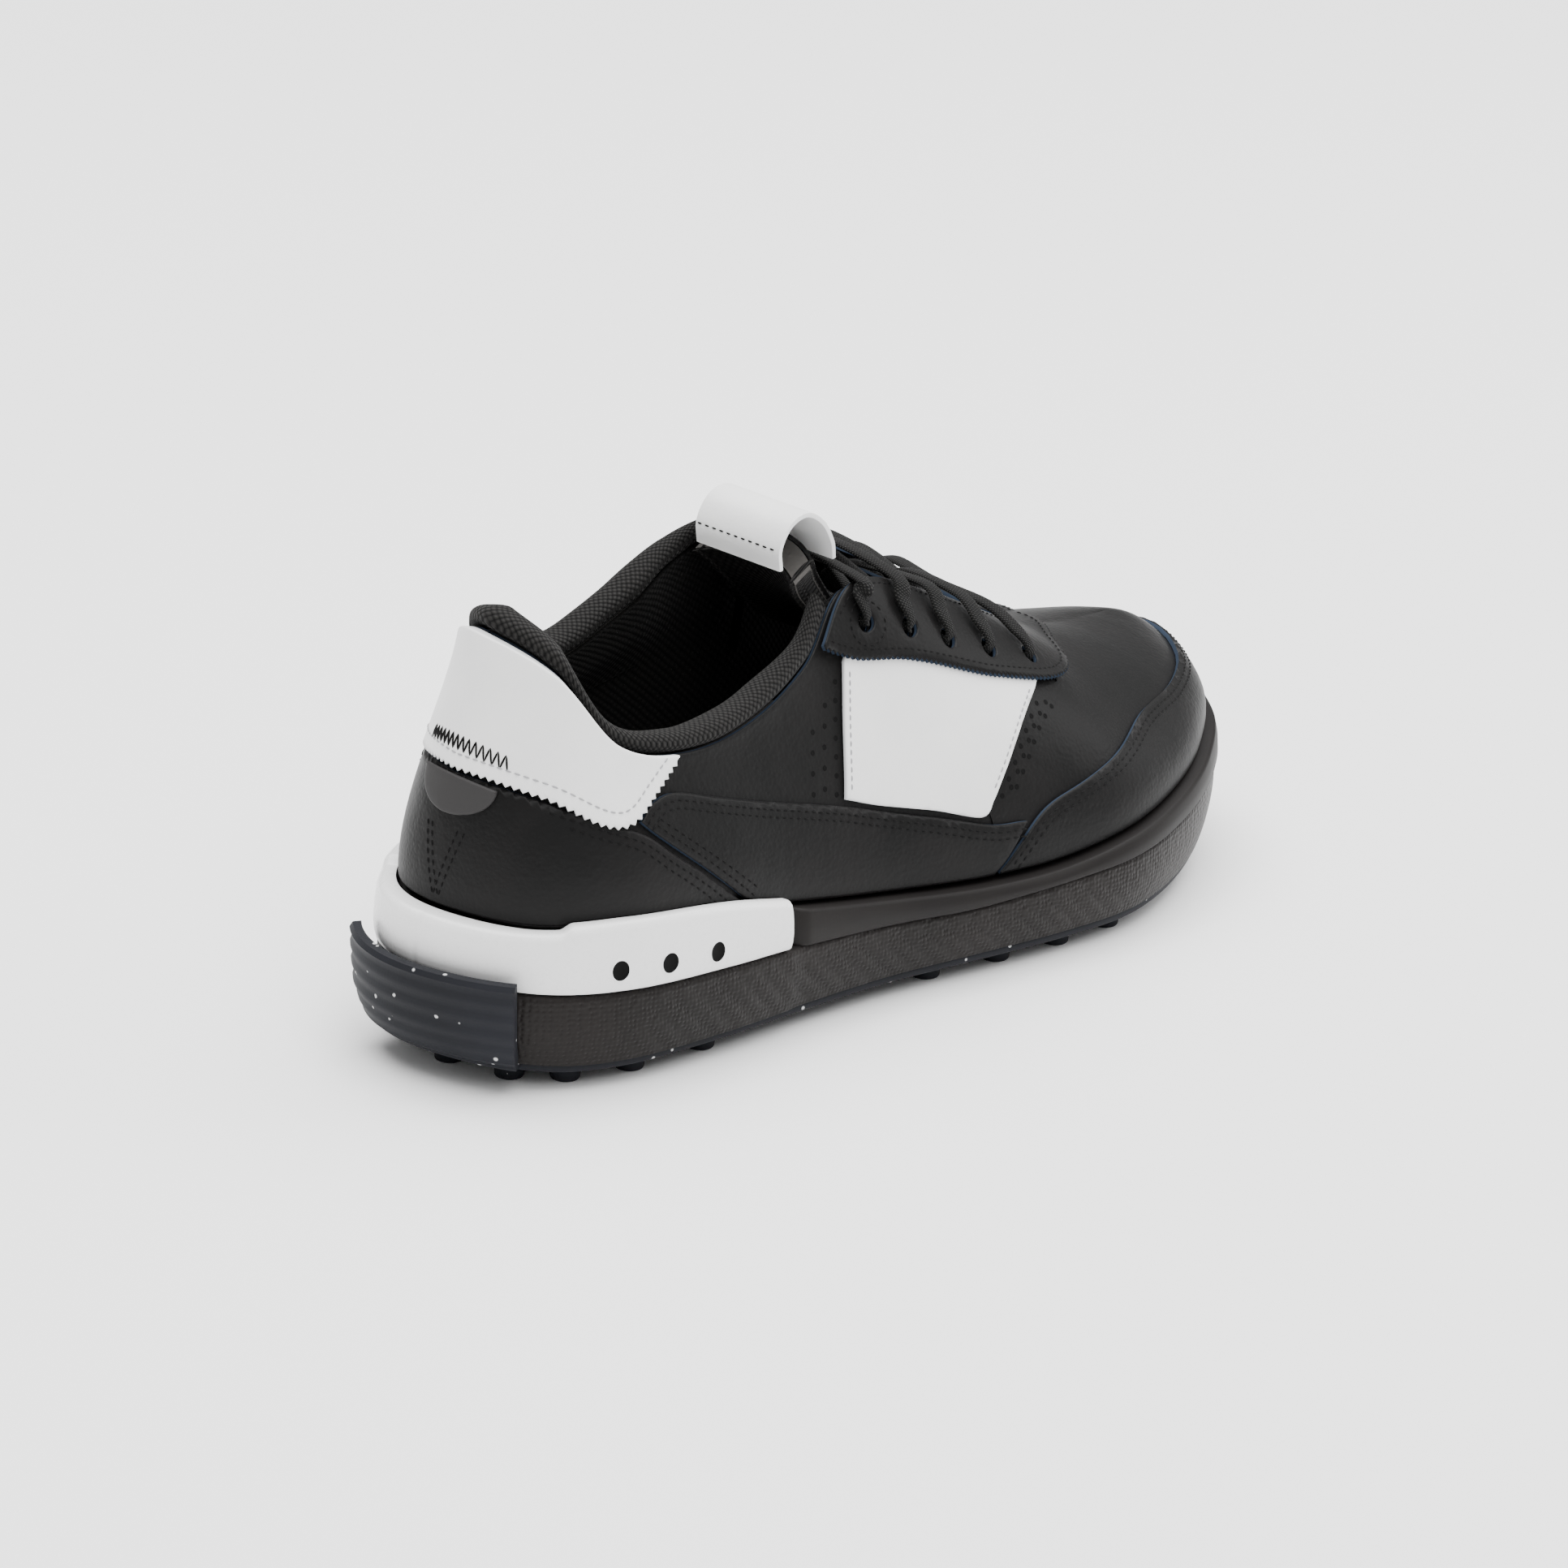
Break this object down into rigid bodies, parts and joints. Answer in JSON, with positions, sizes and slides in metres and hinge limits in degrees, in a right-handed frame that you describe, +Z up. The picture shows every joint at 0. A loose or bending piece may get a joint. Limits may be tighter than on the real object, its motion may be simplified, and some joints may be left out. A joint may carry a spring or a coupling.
{
  "type": "golf shoe",
  "caption": "Right lace-up leather golf shoe with a cup sole, round rubber lugs, a heel clip, a sprung tongue and a lift-out sockliner.",
  "frame": {"origin": "on the ground under the middle of the shoe's bounding box", "axes": "+X from heel to toe, -Y to the outer (lateral) side, +Z up"},
  "size_m": [0.3045, 0.1153, 0.1275],
  "materials": {
    "black_leather": "satin grained",
    "white_leather": "satin smooth",
    "grey_trim": "matte",
    "black_mesh": "woven",
    "black_lace": "braided",
    "padding_foam": "matte",
    "midsole_foam": "pebbled",
    "outsole_rubber": "speckled matte",
    "white_plastic": "satin gloss",
    "board": "fibreboard"
  },
  "bodies": {
    "shoe": {"outsole": "outsole_rubber", "midsole": "midsole_foam", "heel_clip": "white_plastic", "insole_board": "board", "toe_puff": "board", "heel_counter": "board", "vamp": "black_leather", "vamp_lining": "black_mesh", "quarter_lateral": "black_leather", "quarter_medial": "black_leather", "quarter_lining": "black_mesh", "collar_foam": "padding_foam", "collar_binding": "black_mesh", "heel_foxing": "black_leather", "heel_patch": "white_leather", "heel_tab": "grey_trim", "side_foxing_lateral": "black_leather", "side_foxing_medial": "black_leather", "toe_guard": "black_leather", "saddle_lateral": "white_leather", "saddle_medial": "white_leather", "eyestay": "black_leather", "lace": "black_lace", "aglet_lateral": "grey_trim", "aglet_medial": "grey_trim"},
    "tongue": {"tongue_cover": "black_leather", "tongue_foam": "padding_foam", "tongue_lining": "black_mesh", "tongue_loop": "white_leather"},
    "insole": {"sockliner": "black_mesh"}
  },
  "joints": [
    {"name": "tongue_flex", "type": "hinge", "parent": "shoe", "child": "tongue", "pos_m": [0.0869, 0.0027, 0.057], "axis": [0, 1, 0], "range_deg": [-8, 0], "stiffness_Nm_per_rad": 0.5},
    {"name": "sockliner_lift", "type": "hinge", "parent": "shoe", "child": "insole", "pos_m": [0.1369, 0.0027, 0.025], "axis": [0, 1, 0], "range_deg": [0, 5]}
  ]
}
